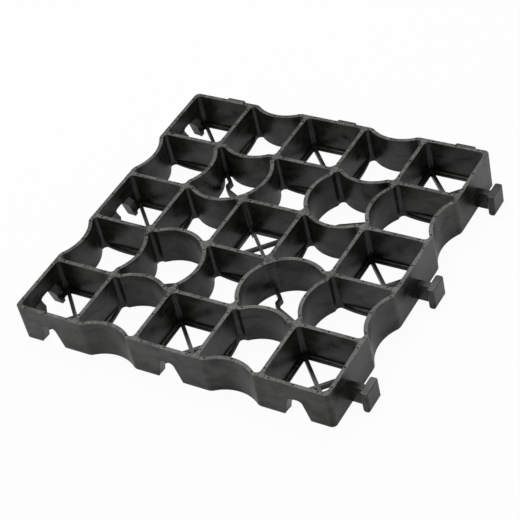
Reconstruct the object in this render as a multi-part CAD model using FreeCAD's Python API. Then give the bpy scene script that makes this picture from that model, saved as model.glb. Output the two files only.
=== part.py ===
import FreeCAD
import Part

import math
import os

# Driving sizes of the grass paver grid, in millimetres
CELLS = 5
PITCH = 65.8
HEIGHT = 40.0
WALL = 4.0

# Wavy walls: a straight stub at each crossing, then one arc towards the middle of the tile
STUB = 7.6
BULGE = 8.5
KINK_RADIUS = 2.5
CORNER_SQUARE = 5.5
CORNER_OTHER = 4.0
CORNER_OUTER = 5.0

# Flange at the foot of the straight walls: even inside the square cells, an arc outside them
LEDGE_HEIGHT = 4.5
LEDGE_SQUARE = 2.6
LEDGE_ARC = 2.6
LEDGE_ARC_HEIGHT = 7.0

# Cross bars in the square cells, and the raised cross at the gate in the middle cell
BAR_WIDTH = 3.2
BAR_HEIGHT = 5.0
BAR_END = 3.0
GATE_UNDER = 12.0
GATE_TOP = 16.0
GATE_FOOT = 13.0
GATE_RISE = 13.0
GATE_STEP = 1.0

# Kinked expansion bars in the four round cells
KINK_BAR_HEIGHT = 6.0
KINK_BAR_OFFSET = 5.0
KINK_BAR_START = 20.0
KINK_BAR_STEP = 4.0
KINK_BAR_RUN = 9.0
KINK_BAR_ROUND = 3.0

# Notches of the front and left edges, and the boss behind each
NOTCH_FRONT = 31.5
NOTCH_LEFT = 34.3
NOTCH_TOP = 22.5
NOTCH_HALF_TOP = 6.5
NOTCH_HALF_FOOT = 12.5
NOTCH_ROUND = 5.0
BOSS_HALF = 17.0
BOSS_DEPTH = 5.5
BOSS_HEIGHT = 17.0
BOSS_SLOPE = 4.0

# Clips of the right and back edges, a T in plan, made to enter the notches of the next tile
CLIP_SLIP = 4.0
CLIP_FOOT = 0.6
STEM_WIDTH = 7.2
STEM_TOP = 19.0
HEAD_WIDTH = 21.4
HEAD_DEPTH = 7.5
HEAD_TOP = 23.0
HEAD_CORNER = 2.0
HEAD_FOOT_ROUND = 3.0

# The origin is on the underside, in the middle of the whole outline with its clips
CLIP_GAP = WALL + BOSS_DEPTH + CLIP_SLIP
CLIP_REACH = CLIP_GAP + HEAD_DEPTH
FIRST = WALL / 2 - (CELLS * PITCH + WALL + CLIP_REACH) / 2
CHORD_HALF = PITCH / 2 - STUB
ARC_RADIUS = (CHORD_HALF ** 2 + BULGE ** 2) / (2 * BULGE)

# How far a cutting shape runs past what it cuts, and the distance taken as none
OVER = 5.0
TINY = 1e-6

X = FreeCAD.Vector(1, 0, 0)
Y = FreeCAD.Vector(0, 1, 0)
Z = FreeCAD.Vector(0, 0, 1)


def crossing(i, j):
    """Middle of the crossing i along and j back, on the underside."""
    return X * (FIRST + i * PITCH) + Y * (FIRST + j * PITCH)


def inward(line):
    """The way that the wavy walls of a grid line bulge: towards the middle of the tile."""
    return 1 if line < CELLS / 2 else -1


def side_edges(start, along, normal, bulge, offset, trim_start, trim_end):
    """Edges of one cell side, offset from the wall's middle line towards the normal."""
    def at(s, n):
        return start + along * s + normal * n

    first = at(offset if trim_start else 0, offset)
    last = at(PITCH - offset if trim_end else PITCH, offset)
    if bulge == 0:
        return [Part.makeLine(first, last)]
    sign = 1 if bulge > 0 else -1
    radius = ARC_RADIUS + sign * offset
    reach = math.sqrt(BULGE * (2 * radius - BULGE))
    left = at(PITCH / 2 - reach, offset)
    right = at(PITCH / 2 + reach, offset)
    middle = at(PITCH / 2, bulge + offset)
    arc = Part.Arc(left, middle, right).toShape()
    return [Part.makeLine(first, left), arc, Part.makeLine(right, last)]


def prism(edges, low, high):
    """Upright solid over a closed run of edges."""
    face = Part.Face(Part.Wire(edges))
    face.translate(Z * low)
    return face.extrude(Z * (high - low))


def round_uprights(shape, radius, wanted):
    """Fillet the upright edges whose plan point is wanted."""
    edges = []
    for edge in shape.Edges:
        a = edge.Vertexes[0].Point
        b = edge.Vertexes[-1].Point
        if math.hypot(a.x - b.x, a.y - b.y) < TINY and abs(a.z - b.z) > TINY and wanted(a):
            edges.append(edge)
    return shape.makeFillet(radius, edges) if edges else shape


def from_crossing(point):
    """Plan distance from the nearest crossing."""
    x = (point.x - FIRST) / PITCH
    y = (point.y - FIRST) / PITCH
    return math.hypot(x - round(x), y - round(y)) * PITCH


def corner_room(offset):
    """Largest corner round that the stub of a wavy wall leaves beside its kink, inside a cell."""
    radius = ARC_RADIUS + offset
    reach = math.sqrt(BULGE * (2 * radius - BULGE))
    kink_length = KINK_RADIUS * math.tan(math.asin(reach / radius) / 2)
    return PITCH / 2 - reach - offset - kink_length - TINY


def round_corners(shape, offset, corner):
    """Fillet the kinks of the wavy walls, then the corners at the crossings."""
    corner_distance = math.hypot(offset, offset) + TINY
    shape = round_uprights(shape, KINK_RADIUS, lambda p: from_crossing(p) > corner_distance)
    return round_uprights(shape, corner, lambda p: from_crossing(p) < corner_distance)


def is_square(i, j):
    return i % 2 == 0 and j % 2 == 0


def cell_prism(i, j, offset, low, high):
    """Space of one cell between its four walls, before its corners are rounded.

    Between two walls that bulge away from the cell the corner is filled, flush with their arcs.
    """
    across = BULGE if i % 2 else 0
    along = BULGE if j % 2 else 0
    sides = [
        (crossing(i, j), X, Y, across * inward(j)),
        (crossing(i + 1, j), Y, X * -1, -along * inward(i + 1)),
        (crossing(i + 1, j + 1), X * -1, Y * -1, -across * inward(j + 1)),
        (crossing(i, j + 1), Y * -1, X, along * inward(i)),
    ]
    runs = []
    away = []
    for start, direction, normal, bulge in sides:
        runs.append(side_edges(start, direction, normal, bulge, offset, True, True))
        away.append(bulge < 0)
    for k in range(len(sides)):
        after = (k + 1) % len(sides)
        if away[k] and away[after]:
            arc_end = runs[k].pop().Vertexes[0].Point
            arc_start = runs[after].pop(0).Vertexes[-1].Point
            runs[k].append(Part.makeLine(arc_end, arc_start))
    return prism(sum(runs, []), low, high)


def outer_prism():
    """The tile before its cells are opened."""
    corners = [(crossing(0, 0), X, Y), (crossing(CELLS, 0), Y, X * -1)]
    corners += [(crossing(CELLS, CELLS), X * -1, Y * -1), (crossing(0, CELLS), Y * -1, X)]
    edges = []
    for start, along, normal in corners:
        for k in range(CELLS):
            bulge = BULGE if k % 2 else 0
            corner = start + along * (k * PITCH)
            edges += side_edges(corner, along, normal, bulge, -WALL / 2, k == 0, k == CELLS - 1)
    return round_corners(prism(merge_lines(edges), 0, HEIGHT), -WALL / 2, CORNER_OUTER)


def merge_lines(edges):
    """Join straight edges that follow each other in one line."""
    joined = []
    for edge in edges:
        if joined and straight(edge) and straight(joined[-1]):
            first = joined[-1].Vertexes[0].Point
            corner = joined[-1].Vertexes[-1].Point
            last = edge.Vertexes[-1].Point
            if (corner - first).cross(last - corner).Length < TINY:
                joined[-1] = Part.makeLine(first, last)
                continue
        joined.append(edge)
    return joined


def straight(edge):
    return isinstance(edge.Curve, Part.Line)


def strip(points, width, height):
    """Upright bar on the underside that follows a run of plan points, mitred where it turns."""
    steps = [(b - a).normalize() for a, b in zip(points, points[1:])]
    left = []
    right = []
    for point, before, after in zip(points, steps[:1] + steps, steps + steps[-1:]):
        mitre = Z.cross(before + after).normalize()
        reach = width / 2 / mitre.dot(Z.cross(after))
        left.append(point + mitre * reach)
        right.append(point - mitre * reach)
    face = Part.Face(Part.makePolygon(right + left[::-1] + right[:1]))
    return face.extrude(Z * height)


def diagonals(i, j):
    """Start, end and direction of the two diagonals of a cell."""
    pairs = [(crossing(i, j), crossing(i + 1, j + 1)), (crossing(i, j + 1), crossing(i + 1, j))]
    return [(a, b, (b - a).normalize()) for a, b in pairs]


def cross_bars(i, j):
    """Flat cross at the foot of a square cell."""
    return [strip([a + d * BAR_END, b - d * BAR_END], BAR_WIDTH, BAR_HEIGHT) for a, b, d in diagonals(i, j)]


def gate_bars(i, j):
    """Raised cross at the gate, with a sloping leg down to each corner."""
    bars = []
    for a, b, d in diagonals(i, j):
        length = (b - a).Length
        bend = GATE_FOOT + GATE_RISE
        low = [(BAR_END, 0), (GATE_FOOT, 0), (bend, GATE_UNDER)]
        high = [(bend - GATE_STEP, GATE_TOP), (GATE_FOOT - GATE_STEP, BAR_HEIGHT), (BAR_END, BAR_HEIGHT)]
        profile = low + [(length - s, z) for s, z in reversed(low)]
        profile += [(length - s, z) for s, z in reversed(high)] + high
        points = [a + d * s + Z * z for s, z in profile]
        side = Z.cross(d) * (BAR_WIDTH / 2)
        face = Part.Face(Part.makePolygon([p - side for p in points + points[:1]]))
        bars.append(face.extrude(side * 2))
    return bars


def kinked_bar(i, j):
    """Expansion bar of a round cell, on the diagonal that points at the middle of the tile."""
    leaning = (i < CELLS / 2) != (j < CELLS / 2)
    a, b, d = diagonals(i, j)[leaning]
    side = Z.cross(d) * (-KINK_BAR_OFFSET if leaning else KINK_BAR_OFFSET)
    out = KINK_BAR_START + KINK_BAR_STEP
    half = [a + d * BAR_END, a + d * KINK_BAR_START, a + d * out + side, a + d * (out + KINK_BAR_RUN) + side]
    rest = [b - d * BAR_END, b - d * KINK_BAR_START, b - d * out - side, b - d * (out + KINK_BAR_RUN) - side]
    bar = strip(half + rest[::-1], BAR_WIDTH, KINK_BAR_HEIGHT)
    return round_uprights(bar, KINK_BAR_ROUND, lambda p: from_crossing(p) > KINK_BAR_START - BAR_WIDTH)


def arc_ledge(start, along, normal):
    """Foot flange on the outer side of a square cell's wall, a flat segment of a circle."""
    ends = CORNER_OTHER + WALL / 2
    left = start + along * ends
    right = start + along * (PITCH - ends)
    top = start + along * (PITCH / 2) + normal * (WALL / 2 + LEDGE_ARC)
    left_face = left + normal * (WALL / 2)
    right_face = right + normal * (WALL / 2)
    edges = [Part.makeLine(left, right), Part.makeLine(right, right_face)]
    edges += [Part.Arc(right_face, top, left_face).toShape(), Part.makeLine(left_face, left)]
    return prism(edges, 0, LEDGE_ARC_HEIGHT)


def boss(middle, along, normal):
    """Thicker wall behind a notch, sloped off at its top."""
    depth = WALL / 2 + BOSS_DEPTH
    profile = [(0, 0), (depth, 0), (depth, BOSS_HEIGHT)]
    profile += [(WALL / 2, BOSS_HEIGHT + BOSS_SLOPE), (0, BOSS_HEIGHT)]
    points = [middle - along * BOSS_HALF + normal * n + Z * z for n, z in profile]
    face = Part.Face(Part.makePolygon(points + points[:1]))
    return face.extrude(along * (2 * BOSS_HALF))


def edges_along(shape, direction):
    """Straight edges that run in one direction."""
    runs = [(e, e.Vertexes[-1].Point - e.Vertexes[0].Point) for e in shape.Edges]
    return [e for e, run in runs if run.cross(direction).Length < TINY]


def notch(middle, along, normal):
    """Space cut for the clip stem of the next tile, wider at its foot."""
    profile = [(-NOTCH_HALF_FOOT, 0), (NOTCH_HALF_FOOT, 0)]
    profile += [(NOTCH_HALF_TOP, NOTCH_TOP), (-NOTCH_HALF_TOP, NOTCH_TOP)]
    back = middle - normal * (WALL / 2 + OVER)
    points = [back + along * s + Z * z for s, z in profile]
    face = Part.Face(Part.makePolygon(points + points[:1]))
    space = face.extrude(normal * (WALL + BOSS_DEPTH + 2 * OVER))
    top = [e for e in edges_along(space, normal) if abs(e.Vertexes[0].Point.z - NOTCH_TOP) < TINY]
    return space.makeFillet(NOTCH_ROUND, top)


def clip_block(middle, along, normal, width, near, far, top):
    """Upright block of a clip, between two distances from the wall's middle line."""
    plan = [(-width / 2, near), (width / 2, near), (width / 2, far), (-width / 2, far)]
    points = [middle + along * s + normal * n + Z * CLIP_FOOT for s, n in plan]
    return Part.Face(Part.makePolygon(points + points[:1])).extrude(Z * (top - CLIP_FOOT))


def clip(middle, along, normal):
    """Stem and head that hold the next tile; the head is rounded in plan and along its foot."""
    inner = WALL / 2 + CLIP_GAP
    stem = clip_block(middle, along, normal, STEM_WIDTH, 0, inner + HEAD_DEPTH / 2, STEM_TOP)
    block = clip_block(middle, along, normal, HEAD_WIDTH, inner, inner + HEAD_DEPTH, HEAD_TOP)
    foot = [e for e in edges_along(block, along) if e.Vertexes[0].Point.z < HEAD_TOP / 2]
    foot_rounded = block.makeFillet(min(HEAD_FOOT_ROUND, HEAD_DEPTH / 2 - TINY), foot)
    corners_rounded = block.makeFillet(HEAD_CORNER, edges_along(block, Z))
    return stem.fuse(foot_rounded.common(corners_rounded))


# Open the cells, leaving the flange at the foot of the square ones
cells = [(i, j) for i in range(CELLS) for j in range(CELLS)]
squares = [cell for cell in cells if is_square(*cell)]
gate = (CELLS // 2, CELLS // 2)
spaces = []
for i, j in cells:
    if is_square(i, j):
        above = cell_prism(i, j, WALL / 2, LEDGE_HEIGHT, HEIGHT + OVER)
        spaces.append(round_corners(above, WALL / 2, CORNER_SQUARE))
        spaces.append(cell_prism(i, j, WALL / 2 + LEDGE_SQUARE, -OVER, LEDGE_HEIGHT + OVER))
    else:
        through = cell_prism(i, j, WALL / 2, -OVER, HEIGHT + OVER)
        spaces.append(round_corners(through, WALL / 2, min(CORNER_OTHER, corner_room(WALL / 2))))
grid = outer_prism().cut(spaces)

# Foot flanges, bars and bosses
added = []
for i, j in squares:
    if i > 0:
        added.append(arc_ledge(crossing(i, j), Y, X * -1))
    if i < CELLS - 1:
        added.append(arc_ledge(crossing(i + 1, j), Y, X))
    if j > 0:
        added.append(arc_ledge(crossing(i, j), X, Y * -1))
    if j < CELLS - 1:
        added.append(arc_ledge(crossing(i, j + 1), X, Y))
    added += gate_bars(i, j) if (i, j) == gate else cross_bars(i, j)
for i, j in cells:
    if i % 2 and j % 2:
        added.append(kinked_bar(i, j))

# Notches on the front and left edges, clips on the back and right edges
notches = []
for k in range(0, CELLS, 2):
    front = crossing(k, 0) + X * NOTCH_FRONT
    left = crossing(0, k) + Y * NOTCH_LEFT
    added.append(boss(front, X, Y))
    added.append(boss(left, Y, X))
    notches.append(notch(front, X, Y))
    notches.append(notch(left, Y, X))
    added.append(clip(crossing(k, CELLS) + X * NOTCH_FRONT, X, Y))
    added.append(clip(crossing(CELLS, k) + Y * NOTCH_LEFT, Y, X))
grid = grid.fuse(added).cut(notches).removeSplitter()
solid = grid.Solids[0]

os.makedirs("parts", exist_ok=True)
solid.exportStep("parts/paver_grid.step")
box = solid.BoundBox
print("solids", len(grid.Solids), "valid", solid.isValid(), "volume cm3", round(solid.Volume / 1000, 1))
print("box", round(box.XLength, 1), round(box.YLength, 1), round(box.ZLength, 1), "faces", len(solid.Faces))
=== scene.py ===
import math

import bmesh
import bpy
from mathutils import Matrix, Vector


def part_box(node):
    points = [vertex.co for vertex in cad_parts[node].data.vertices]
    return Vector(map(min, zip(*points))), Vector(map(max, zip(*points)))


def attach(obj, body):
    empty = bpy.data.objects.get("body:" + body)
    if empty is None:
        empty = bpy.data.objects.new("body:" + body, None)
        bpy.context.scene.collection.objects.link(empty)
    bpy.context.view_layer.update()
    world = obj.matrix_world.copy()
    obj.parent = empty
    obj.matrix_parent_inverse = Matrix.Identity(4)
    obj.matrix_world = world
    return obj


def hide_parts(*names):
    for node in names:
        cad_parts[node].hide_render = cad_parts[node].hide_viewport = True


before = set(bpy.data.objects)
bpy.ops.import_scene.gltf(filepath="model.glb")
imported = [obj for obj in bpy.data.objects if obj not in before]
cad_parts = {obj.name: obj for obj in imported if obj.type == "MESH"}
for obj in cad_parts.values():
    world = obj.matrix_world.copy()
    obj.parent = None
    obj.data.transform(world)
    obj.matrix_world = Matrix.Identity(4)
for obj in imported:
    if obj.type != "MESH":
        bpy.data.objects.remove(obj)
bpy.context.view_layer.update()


# Grid moulding
# The whole tile: straight and wavy cell walls, foot flanges, bars, notches and clips in one piece.
# It is shot from melted-down polyethylene film and crates, so the black pigment is uneven.
# The mould's edges were eased by hand, which leaves a fine round on rims, feet, notches and clips.
MM = 0.001
CELLS = 5
PITCH = 65.8 * MM
WALL = 4.0 * MM
STUB = 7.6 * MM
BULGE = 8.5 * MM
KINK_RADIUS = 2.5 * MM
SOFT_KINK = 10.0 * MM
BAR_TOPS = (5.0 * MM, 6.0 * MM)
BAR_SPLAY = 0.5 * MM
STEM_TOP = 19.0 * MM
HEAD_TOP = 23.0 * MM
EDGE_ROUND = 0.45 * MM
HEAD_ROUND = 0.9 * MM
NOTCH_FOOT_ROUND = 2.5 * MM
ROUND_STEPS = 3

# What tells the faces and edges of the solid apart; a lean is the upward share of a face's normal
WELD = 0.005 * MM
FLAT_ANGLE = math.radians(0.5)
SHARP_ANGLE = math.radians(40)
KINK_NEAR = 0.05 * MM
KINK_SLACK = math.radians(1)
UPRIGHT_LEAN = 0.02
NOTCH_LEAN_LEAST = 0.1
NOTCH_LEAN_MOST = 0.6

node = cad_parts["paver_grid"]
low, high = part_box("paver_grid")
first = low + Vector((WALL / 2, WALL / 2, 0))
middle = first + Vector((CELLS * PITCH / 2, CELLS * PITCH / 2, 0))
chord_half = PITCH / 2 - STUB
arc_radius = (chord_half ** 2 + BULGE ** 2) / (2 * BULGE)

shell = bmesh.new()
shell.from_mesh(node.data)
bmesh.ops.remove_doubles(shell, verts=shell.verts, dist=WELD)
bmesh.ops.dissolve_limit(shell, angle_limit=FLAT_ANGLE, verts=shell.verts, edges=shell.edges)


def kink_round(radius):
    """Middle of the round between an outer edge and its wave, and the angle that the round turns."""
    wave = arc_radius - WALL / 2
    depth = radius - BULGE + wave
    reach = math.sqrt((wave + radius) ** 2 - depth ** 2)
    return Vector((reach, radius)), math.atan2(reach, depth)


old_middle, old_turn = kink_round(KINK_RADIUS)
new_middle, new_turn = kink_round(SOFT_KINK)
outer_face = -(CELLS * PITCH + WALL) / 2


def soften(vert, turn, wave_middle, mirror):
    """Slide a vertex of an outer kink onto a wider round; the edge in hand is turned to the front."""
    here = turn.inverted() @ (vert.co - middle)
    arm = Vector((mirror * (here.x - wave_middle), here.y - outer_face)) - old_middle
    angle = math.atan2(-arm.x, -arm.y)
    if abs(arm.length - KINK_RADIUS) > KINK_NEAR or not -KINK_SLACK < angle < old_turn + KINK_SLACK:
        return
    angle *= new_turn / old_turn
    spot = new_middle - Vector((math.sin(angle), math.cos(angle))) * SOFT_KINK
    vert.co = middle + turn @ Vector((wave_middle + mirror * spot.x, outer_face + spot.y, here.z))


for quarter in range(4):
    turn = Matrix.Rotation(quarter * math.pi / 2, 3, "Z")
    for wave_middle in (-PITCH, PITCH):
        for mirror in (-1, 1):
            for vert in shell.verts:
                soften(vert, turn, wave_middle, mirror)


def is_bar(face):
    """Whether an upright face is a side of a foot bar."""
    top = max(v.co.z for v in face.verts) - low.z
    return any(abs(top - bar) < WELD for bar in BAR_TOPS)


def lean_out(vert):
    """Step of a bar's foot vertex out of the bar's side, and along the other wall that it lies on."""
    upright = [f for f in vert.link_faces if abs(f.normal.z) < UPRIGHT_LEAN]
    if abs(vert.co.z - low.z) > WELD or not any(is_bar(f) for f in upright):
        return Vector((0, 0, 0))
    a = upright[0].normal
    across = min(upright, key=lambda f: abs(f.normal.dot(a)))
    b = across.normal
    out_a = BAR_SPLAY if is_bar(upright[0]) else 0
    out_b = BAR_SPLAY if is_bar(across) else 0
    cross = a.x * b.y - a.y * b.x
    if abs(cross) < UPRIGHT_LEAN:
        return a * out_a
    return Vector(((out_a * b.y - out_b * a.y) / cross, (out_b * a.x - out_a * b.x) / cross, 0))


# The sides of the bars lean out to the foot, as the mould needs
shell.normal_update()
splay_steps = [(vert, lean_out(vert)) for vert in shell.verts]
for vert, step in splay_steps:
    vert.co += step


def is_notch_side(face):
    """Whether a face leans as the sides of a notch do, more than a bar's and less than a gate leg's."""
    return NOTCH_LEAN_LEAST < abs(face.normal.z) < NOTCH_LEAN_MOST


# Outer edges that lie in these planes are eased, each as a share of the widest round
shell.normal_update()
eased_planes = [
    (2, low.z, EDGE_ROUND),
    (2, high.z, EDGE_ROUND),
    (2, STEM_TOP, EDGE_ROUND),
    (2, HEAD_TOP, HEAD_ROUND),
    (0, low.x, EDGE_ROUND),
    (1, low.y, EDGE_ROUND),
]
round_share = shell.edges.layers.float.new("bevel_weight_edge")
for edge in shell.edges:
    if not edge.is_manifold or edge.calc_face_angle_signed() < SHARP_ANGLE:
        continue
    notch_side = any(is_notch_side(f) for f in edge.link_faces)
    for axis, level, width in eased_planes:
        if all(abs(v.co[axis] - level) < WELD for v in edge.verts):
            notch_foot = notch_side and level == low.z
            edge[round_share] = (NOTCH_FOOT_ROUND if notch_foot else width) / NOTCH_FOOT_ROUND
grid_mesh = bpy.data.meshes.new("grid_moulding")
shell.to_mesh(grid_mesh)
shell.free()
grid = bpy.data.objects.new("grid_moulding", grid_mesh)
bpy.context.scene.collection.objects.link(grid)

ease = grid.modifiers.new("eased edges", "BEVEL")
ease.limit_method = "WEIGHT"
ease.width = NOTCH_FOOT_ROUND
ease.segments = ROUND_STEPS
ease.use_clamp_overlap = False
ease.loop_slide = False


# Ejector marks of the moulding
# Pins push the tile out of its mould: three leave a small pit in the rim of each wall,
# and a round sleeve leaves a shallow ring on every crossing.
PIN_DIAMETER = 2.2 * MM
PIN_DEPTH = 0.7 * MM
PIN_SIDES = 12
PINS = 3
PIN_SHARE = 0.135
RING_RADIUS = 4.6 * MM
RING_WIRE = 0.28 * MM
RING_STEPS = 36
RING_WIRE_SIDES = 6
ARC_POINTS = 25
SMOOTH_ANGLE = math.radians(20)
FLAT_FACE_WEIGHT = 100


def wall_line(start, along, bulge):
    """Middle line of one wall, from crossing to crossing."""
    across = Vector((-along.y, along.x, 0))
    points = [start]
    if bulge:
        for k in range(ARC_POINTS):
            s = -chord_half + 2 * chord_half * k / (ARC_POINTS - 1)
            rise = math.sqrt(arc_radius ** 2 - s ** 2) - arc_radius + BULGE
            points.append(start + along * (PITCH / 2 + s) + across * (rise * bulge))
    return points + [start + along * PITCH]


lines = bpy.data.curves.new("wall_lines", "CURVE")
lines.dimensions = "3D"
for line in range(CELLS + 1):
    inward = 1 if line < CELLS / 2 else -1
    for cell in range(CELLS):
        bulge = inward * (cell % 2)
        x_start = first + Vector((cell * PITCH, line * PITCH, 0))
        y_start = first + Vector((line * PITCH, cell * PITCH, 0))
        along_x = wall_line(x_start, Vector((1, 0, 0)), bulge)
        along_y = wall_line(y_start, Vector((0, 1, 0)), -bulge)
        for points in (along_x, along_y):
            spline = lines.splines.new("POLY")
            spline.points.add(len(points) - 1)
            for spline_point, p in zip(spline.points, points):
                spline_point.co = (p.x, p.y, high.z, 1)
wall_lines = bpy.data.objects.new("wall_lines", lines)
bpy.context.scene.collection.objects.link(wall_lines)


def put(tree, kind, links=(), **settings):
    """Add a node with its settings, and give each named or numbered input a value or a link."""
    made = tree.nodes.new(kind)
    for name, value in settings.items():
        setattr(made, name, value)
    for key, value in dict(links).items():
        socket = made.inputs[key]
        if isinstance(value, bpy.types.NodeSocket):
            tree.links.new(value, socket)
        else:
            socket.default_value = value
    return made


plastic = bpy.data.materials.new("moulded_recycled_polyethylene")
marks = bpy.data.node_groups.new("ejector_marks", "GeometryNodeTree")
marks.interface.new_socket("Geometry", in_out="OUTPUT", socket_type="NodeSocketGeometry")
marks.interface.new_socket("Geometry", in_out="INPUT", socket_type="NodeSocketGeometry")
mark_inputs = {
    "Wall lines": ("NodeSocketObject", wall_lines),
    "Pin diameter": ("NodeSocketFloat", PIN_DIAMETER),
    "Pin depth": ("NodeSocketFloat", PIN_DEPTH),
    "Pins": ("NodeSocketInt", PINS),
    "Pin share": ("NodeSocketFloat", PIN_SHARE),
    "Ring radius": ("NodeSocketFloat", RING_RADIUS),
    "Ring wire": ("NodeSocketFloat", RING_WIRE),
    "Crossings": ("NodeSocketInt", CELLS + 1),
    "Span": ("NodeSocketFloat", CELLS * PITCH),
    "Middle": ("NodeSocketVector", (middle.x, middle.y, high.z)),
    "Plastic": ("NodeSocketMaterial", plastic),
}
mark_sockets = {}
for name, (kind, value) in mark_inputs.items():
    mark_sockets[name] = marks.interface.new_socket(name, in_out="INPUT", socket_type=kind)
source = put(marks, "NodeGroupInput").outputs

# The pins stand evenly along the middle run of each wall's line
walls = put(marks, "GeometryNodeObjectInfo", {"Object": source["Wall lines"]})
far_share = put(marks, "ShaderNodeMath", {0: 1.0, 1: source["Pin share"]}, operation="SUBTRACT")
middle_run = put(marks, "GeometryNodeTrimCurve", {
    "Curve": walls.outputs["Geometry"],
    "Start": source["Pin share"],
    "End": far_share.outputs[0],
})
pin_places = put(marks, "GeometryNodeCurveToPoints", {
    "Curve": middle_run.outputs["Curve"],
    "Count": source["Pins"],
})
pin_radius = put(marks, "ShaderNodeMath", {0: source["Pin diameter"], 1: 0.5}, operation="MULTIPLY")
pin_length = put(marks, "ShaderNodeMath", {0: source["Pin depth"], 1: 2.0}, operation="MULTIPLY")
pin = put(marks, "GeometryNodeMeshCylinder", {
    "Vertices": PIN_SIDES,
    "Radius": pin_radius.outputs[0],
    "Depth": pin_length.outputs[0],
})
pins = put(marks, "GeometryNodeInstanceOnPoints", {
    "Points": pin_places.outputs["Points"],
    "Instance": pin.outputs["Mesh"],
})

# The rings lie on a square grid of crossings
crossings = put(marks, "GeometryNodeMeshGrid", {
    "Size X": source["Span"],
    "Size Y": source["Span"],
    "Vertices X": source["Crossings"],
    "Vertices Y": source["Crossings"],
})
placed = put(marks, "GeometryNodeTransform", {
    "Geometry": crossings.outputs["Mesh"],
    "Translation": source["Middle"],
})
ring_path = put(marks, "GeometryNodeCurvePrimitiveCircle", {
    "Resolution": RING_STEPS,
    "Radius": source["Ring radius"],
})
ring_wire = put(marks, "GeometryNodeCurvePrimitiveCircle", {
    "Resolution": RING_WIRE_SIDES,
    "Radius": source["Ring wire"],
})
ring = put(marks, "GeometryNodeCurveToMesh", {
    "Curve": ring_path.outputs["Curve"],
    "Profile Curve": ring_wire.outputs["Curve"],
})
rings = put(marks, "GeometryNodeInstanceOnPoints", {
    "Points": placed.outputs["Geometry"],
    "Instance": ring.outputs["Mesh"],
})

# Both are cut out of the tile, and the faces that they leave carry a flag for the material
both = put(marks, "GeometryNodeJoinGeometry")
marks.links.new(pins.outputs["Instances"], both.inputs[0])
marks.links.new(rings.outputs["Instances"], both.inputs[0])
cutters = put(marks, "GeometryNodeRealizeInstances", {"Geometry": both.outputs["Geometry"]})
flagged = put(marks, "GeometryNodeStoreNamedAttribute", {
    "Geometry": cutters.outputs["Geometry"],
    "Name": "ejector_mark",
    "Value": 1.0,
}, data_type="FLOAT", domain="FACE")
pressed = put(marks, "GeometryNodeMeshBoolean", {
    "Mesh 1": source["Geometry"],
    "Mesh 2": flagged.outputs["Geometry"],
}, operation="DIFFERENCE", solver="EXACT")
finished = put(marks, "GeometryNodeRealizeInstances", {"Geometry": pressed.outputs["Mesh"]})
coated = put(marks, "GeometryNodeSetMaterial", {
    "Geometry": finished.outputs["Geometry"],
    "Material": source["Plastic"],
})
put(marks, "NodeGroupOutput", {0: coated.outputs["Geometry"]})

pressing = grid.modifiers.new("ejector marks", "NODES")
pressing.node_group = marks
for name, (kind, value) in mark_inputs.items():
    pressing[mark_sockets[name].identifier] = value


def settle(piece):
    """Turn a piece and its live modifiers into one plain mesh."""
    depsgraph = bpy.context.evaluated_depsgraph_get()
    mesh = bpy.data.meshes.new_from_object(
        piece.evaluated_get(depsgraph), preserve_all_data_layers=True, depsgraph=depsgraph)
    piece.modifiers.clear()
    piece.data = mesh


settle(grid)
bpy.data.objects.remove(wall_lines)
for face in grid.data.polygons:
    face.use_smooth = True
grid.data.set_sharp_from_angle(angle=SMOOTH_ANGLE)
flat = grid.modifiers.new("flat faces shade flat", "WEIGHTED_NORMAL")
flat.keep_sharp = True
flat.weight = FLAT_FACE_WEIGHT
settle(grid)


# Moulded recycled polyethylene
# Carbon-black recyclate with a satin skin. It is nearly black, and most of what the eye sees on it
# is the white of its surroundings, broken up by flow smears, draw marks and paler rims,
# whose pale grey is partly rubbed wear and partly a painted highlight.
WARM_BLACK = "#23231e"
COOL_BLACK = "#21211f"
FILM_FLECK = "#4c4c49"
# Pale grey of the rim tops: rubbed wear in patches, and also a painted highlight of the light falling on
# them
RIM_WEAR_AND_HIGHLIGHT_GREY = "#5e5e5a"
# Near-black of the ejector pits and rings: dirt, and painted shade for their hollows
MARK_DIRT_AND_SHADE = "#161615"
POLYETHYLENE_IOR = 1.51

# Sizes of the patterns; the flecks and the grain are drawn coarser than real ones, so that they show
CLOUD_SIZE = 45.0 * MM
SMEAR_LENGTH = 22.0 * MM
SMEAR_HEIGHT = 11.0 * MM
DRAW_WIDTH = 2.6 * MM
DRAW_LENGTH = 60.0 * MM
FLECK_SIZE = 1.6 * MM
SCUFF_SIZE = 3.2 * MM
GRAIN_SIZE = 1.1 * MM
# Height band at the rim tops that takes the pale grey, both wear and painted highlight
WEAR_AND_HIGHLIGHT_START = 0.9 * MM
WEAR_AND_HIGHLIGHT_FULL = 0.18 * MM
RELIEF = 0.14 * MM

# How much of each pattern goes into another, and what its low and high ends give
DRAW_IN_STREAKS = 0.35
CLOUD_IN_BLOTCHES = 0.8
SMEAR_RELIEF = 3.0
DRAW_RELIEF = 0.7
RELIEF_STRENGTH = 0.4
RUB_DULLS = 0.12
PATCH_RANGE = {"From Min": 0.35, "From Max": 0.65}
FLECK_RANGE = {"From Min": 0.64, "From Max": 0.8}
STREAK_RANGE = {"From Min": 0.48, "From Max": 0.88}
BLOTCH_RANGE = {"From Min": 0.72, "From Max": 1.08}
FLECK_MOST = 0.3
PIGMENT_DEPTH = {"To Min": 0.65, "To Max": 1.4}
SATIN_ROUGHNESS = {"To Min": 0.24, "To Max": 0.42}
SATIN_SHINE = {"To Min": 0.32, "To Max": 0.64}

# The places of a Mix node's two colours among its inputs, and of its colour among its outputs
MIX_A = 6
MIX_B = 7
MIX_OUT = 2


def linear(colour):
    """sRGB hex to the linear colour that a shader takes."""
    parts = [int(colour[k:k + 2], 16) / 255 for k in (1, 3, 5)]
    return [c / 12.92 if c <= 0.04045 else ((c + 0.055) / 1.055) ** 2.4 for c in parts] + [1.0]


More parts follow.
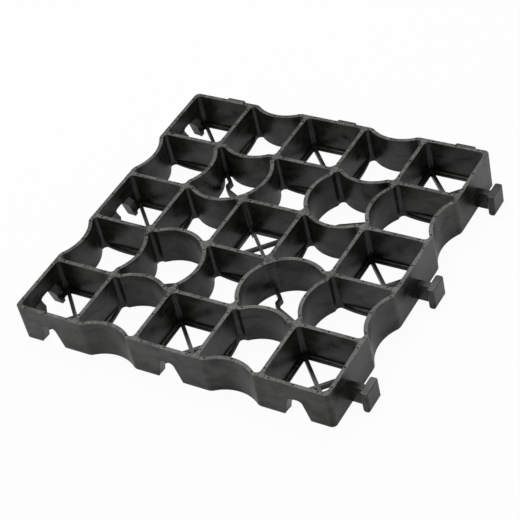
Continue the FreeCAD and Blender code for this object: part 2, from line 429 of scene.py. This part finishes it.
plastic.use_nodes = True
skin = plastic.node_tree
skin.nodes.clear()
place = put(skin, "ShaderNodeTexCoord").outputs["Object"]
cloud = put(skin, "ShaderNodeTexNoise", {
    "Vector": place, "Scale": 1 / CLOUD_SIZE, "Detail": 3.0, "Roughness": 0.55, "Distortion": 0.6})
flattened = put(skin, "ShaderNodeMapping", {
    "Vector": place, "Scale": (1 / SMEAR_LENGTH, 1 / SMEAR_LENGTH, 1 / SMEAR_HEIGHT)})
smear = put(skin, "ShaderNodeTexNoise", {
    "Vector": flattened.outputs[0], "Scale": 1.0, "Detail": 2.0, "Roughness": 0.45, "Distortion": 0.8})
stretched = put(skin, "ShaderNodeMapping", {
    "Vector": place, "Scale": (1 / DRAW_WIDTH, 1 / DRAW_WIDTH, 1 / DRAW_LENGTH)})
draw = put(skin, "ShaderNodeTexNoise", {
    "Vector": stretched.outputs[0], "Scale": 1.0, "Detail": 3.0, "Roughness": 0.6})
fleck = put(skin, "ShaderNodeTexNoise", {
    "Vector": place, "Scale": 1 / FLECK_SIZE, "Detail": 2.0, "Roughness": 0.5})
scuff = put(skin, "ShaderNodeTexNoise", {
    "Vector": place, "Scale": 1 / SCUFF_SIZE, "Detail": 3.0, "Roughness": 0.65})
grain = put(skin, "ShaderNodeTexNoise", {
    "Vector": place, "Scale": 1 / GRAIN_SIZE, "Detail": 2.0, "Roughness": 0.5})

# The pigment wanders between a warm and a cool black, and pale flecks of other film show in it
blend = put(skin, "ShaderNodeMapRange", {"Value": cloud.outputs["Fac"], **PATCH_RANGE})
warm_or_cool = put(skin, "ShaderNodeMix", {
    "Factor": blend.outputs[0], MIX_A: linear(WARM_BLACK), MIX_B: linear(COOL_BLACK)}, data_type="RGBA")
streaks = put(skin, "ShaderNodeMath", {
    0: draw.outputs["Fac"], 1: DRAW_IN_STREAKS, 2: smear.outputs["Fac"]}, operation="MULTIPLY_ADD")
depth = put(skin, "ShaderNodeMapRange", {
    "Value": streaks.outputs[0], **STREAK_RANGE, **PIGMENT_DEPTH})
pigment = put(skin, "ShaderNodeVectorMath", {
    0: warm_or_cool.outputs[MIX_OUT], "Scale": depth.outputs[0]}, operation="SCALE")
pale = put(skin, "ShaderNodeMapRange", {
    "Value": fleck.outputs["Fac"], **FLECK_RANGE, "To Max": FLECK_MOST})
flecked = put(skin, "ShaderNodeMix", {
    "Factor": pale.outputs[0], MIX_A: pigment.outputs[0], MIX_B: linear(FILM_FLECK)}, data_type="RGBA")

# Stacking and walking rub the rims to a dull grey in patches, and the same grey on the rim tops is also
# a painted highlight of the overhead light. The ejector marks are painted darker: dirt and painted shade.
height = put(skin, "ShaderNodeSeparateXYZ", {"Vector": place}).outputs["Z"]
rim = put(skin, "ShaderNodeMapRange", {
    "Value": height, "From Min": high.z - WEAR_AND_HIGHLIGHT_START, "From Max": high.z - WEAR_AND_HIGHLIGHT_FULL})
patches = put(skin, "ShaderNodeMapRange", {"Value": scuff.outputs["Fac"], **PATCH_RANGE})
rim_wear_and_highlight = put(skin, "ShaderNodeMath", {0: rim.outputs[0], 1: patches.outputs[0]}, operation="MULTIPLY")
worn_and_highlit = put(skin, "ShaderNodeMix", {
    "Factor": rim_wear_and_highlight.outputs[0], MIX_A: flecked.outputs[MIX_OUT], MIX_B: linear(RIM_WEAR_AND_HIGHLIGHT_GREY)}, data_type="RGBA")
# The faces of the ejector pits and rings take a darker colour, part dirt and part painted shade in the
# hollows
mark = put(skin, "ShaderNodeAttribute", attribute_name="ejector_mark").outputs["Fac"]
dirt_and_shade_in_marks = put(skin, "ShaderNodeMix", {
    "Factor": mark, MIX_A: worn_and_highlit.outputs[MIX_OUT], MIX_B: linear(MARK_DIRT_AND_SHADE)}, data_type="RGBA")

# Smears and draw marks are duller and glossier bands, and the skin between them is faintly uneven
gloss = put(skin, "ShaderNodeMapRange", {
    "Value": streaks.outputs[0], **STREAK_RANGE, **SATIN_ROUGHNESS})
dulled = put(skin, "ShaderNodeMath", {
    0: rim_wear_and_highlight.outputs[0], 1: RUB_DULLS, 2: gloss.outputs[0]}, operation="MULTIPLY_ADD")
blotches = put(skin, "ShaderNodeMath", {
    0: cloud.outputs["Fac"], 1: CLOUD_IN_BLOTCHES, 2: smear.outputs["Fac"]}, operation="MULTIPLY_ADD")
shine = put(skin, "ShaderNodeMapRange", {
    "Value": blotches.outputs[0], **BLOTCH_RANGE, **SATIN_SHINE})
smeared_relief = put(skin, "ShaderNodeMath", {
    0: smear.outputs["Fac"], 1: SMEAR_RELIEF, 2: grain.outputs["Fac"]}, operation="MULTIPLY_ADD")
relief = put(skin, "ShaderNodeMath", {
    0: draw.outputs["Fac"], 1: DRAW_RELIEF, 2: smeared_relief.outputs[0]}, operation="MULTIPLY_ADD")
bump = put(skin, "ShaderNodeBump", {
    "Height": relief.outputs[0], "Strength": RELIEF_STRENGTH, "Distance": RELIEF})
shader = put(skin, "ShaderNodeBsdfPrincipled", {
    "Base Color": dirt_and_shade_in_marks.outputs[MIX_OUT],
    "Roughness": dulled.outputs[0],
    "Specular IOR Level": shine.outputs[0],
    "Normal": bump.outputs["Normal"],
    "IOR": POLYETHYLENE_IOR,
})
put(skin, "ShaderNodeOutputMaterial", {"Surface": shader.outputs["BSDF"]})

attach(grid, "root")
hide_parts("paver_grid")


# Floor, light and camera
# A pale seamless paper floor under one large overhead softbox and a weaker front one.
# The camera stands where the photograph was taken from, turned a little about its own line of sight.
PAPER = "#f2f2f2"
WHITE = "#ffffff"
FLOOR_SIDE = 12.0
FLOOR_DROP = 0.2 * MM
FLOOR_WHITE = 0.95
FLOOR_SHEEN = 0.35
floor_mesh = bpy.data.meshes.new("floor")
half = FLOOR_SIDE / 2
corners = [(-half, -half), (half, -half), (half, half), (-half, half)]
floor_mesh.from_pydata([(x, y, -FLOOR_DROP) for x, y in corners], [], [(0, 1, 2, 3)])
floor = bpy.data.objects.new("floor", floor_mesh)
bpy.context.scene.collection.objects.link(floor)

# The camera sees the paper nearly white, and the tile's gloss sees it as a dimmer white
paper = bpy.data.materials.new("white_paper_sweep")
paper.use_nodes = True
sweep = paper.node_tree
sweep.nodes.clear()
ray = put(sweep, "ShaderNodeLightPath").outputs
seen = put(sweep, "ShaderNodeMath", {
    0: ray["Is Camera Ray"], 1: ray["Is Transmission Ray"]}, operation="MAXIMUM")
white = put(sweep, "ShaderNodeMath", {0: seen.outputs[0], 1: FLOOR_WHITE}, operation="MULTIPLY")
sheen = put(sweep, "ShaderNodeMath", {0: ray["Is Glossy Ray"], 1: FLOOR_SHEEN}, operation="MULTIPLY")
glow_share = put(sweep, "ShaderNodeMath", {0: white.outputs[0], 1: sheen.outputs[0]}, operation="MAXIMUM")
matt = put(sweep, "ShaderNodeBsdfDiffuse", {"Color": linear(PAPER)})
glow = put(sweep, "ShaderNodeEmission", {"Color": linear(WHITE), "Strength": 1.0})
mixed = put(sweep, "ShaderNodeMixShader", {
    0: glow_share.outputs[0], 1: matt.outputs[0], 2: glow.outputs[0]})
put(sweep, "ShaderNodeOutputMaterial", {"Surface": mixed.outputs[0]})
floor_mesh.materials.append(paper)

# The air of the studio is white to the camera, dimmer to the tile's gloss and dimmest as plain light
AIR_LIGHT = 0.3
AIR_SHEEN = 0.65
world = bpy.data.worlds.new("studio")
bpy.context.scene.world = world
world.use_nodes = True
air = world.node_tree
air.nodes.clear()
air_ray = put(air, "ShaderNodeLightPath").outputs
to_tile = put(air, "ShaderNodeMapRange", {
    "Value": air_ray["Is Glossy Ray"], "To Min": AIR_LIGHT, "To Max": AIR_SHEEN})
strength = put(air, "ShaderNodeMath", {
    0: to_tile.outputs[0], 1: air_ray["Is Camera Ray"]}, operation="MAXIMUM")
sky = put(air, "ShaderNodeBackground", {"Color": linear(WHITE), "Strength": strength.outputs[0]})
put(air, "ShaderNodeOutputWorld", {"Surface": sky.outputs[0]})

# Each softbox: its place from the middle of the rims and its side, in metres, and its watts
rim_middle = Vector((middle.x, middle.y, high.z))
softboxes = {
    "overhead_softbox": ((-0.35, 0.5, 1.7), 1.5, 22.0),
    "front_softbox": ((-0.9, -1.5, 0.9), 1.2, 6.0),
}
for name, (offset, side, watts) in softboxes.items():
    lamp = bpy.data.lights.new(name, "AREA")
    lamp.shape = "SQUARE"
    lamp.size = side
    lamp.energy = watts
    softbox = bpy.data.objects.new(name, lamp)
    softbox.location = rim_middle + Vector(offset)
    softbox.rotation_euler = (-Vector(offset)).to_track_quat("-Z", "Y").to_euler()
    bpy.context.scene.collection.objects.link(softbox)

VIEW_AZIMUTH = math.radians(39.1)
VIEW_ELEVATION = math.radians(40.3)
VIEW_ROLL = math.radians(-14.3)
VIEW_DISTANCE = 1559.0 * MM
LENS = 115.0
AIM = Vector((-7.0, -19.5, 7.5)) * MM
back = Vector((
    math.sin(VIEW_AZIMUTH) * math.cos(VIEW_ELEVATION),
    -math.cos(VIEW_AZIMUTH) * math.cos(VIEW_ELEVATION),
    math.sin(VIEW_ELEVATION),
))
camera = bpy.data.objects.new("camera", bpy.data.cameras.new("camera"))
camera.data.lens = LENS
station = rim_middle + back * VIEW_DISTANCE
facing = (AIM - station).to_track_quat("-Z", "Y").to_matrix() @ Matrix.Rotation(VIEW_ROLL, 3, "Z")
camera.matrix_world = Matrix.Translation(station) @ facing.to_4x4()
bpy.context.scene.collection.objects.link(camera)
bpy.context.scene.camera = camera
bpy.context.scene.view_settings.view_transform = "Standard"
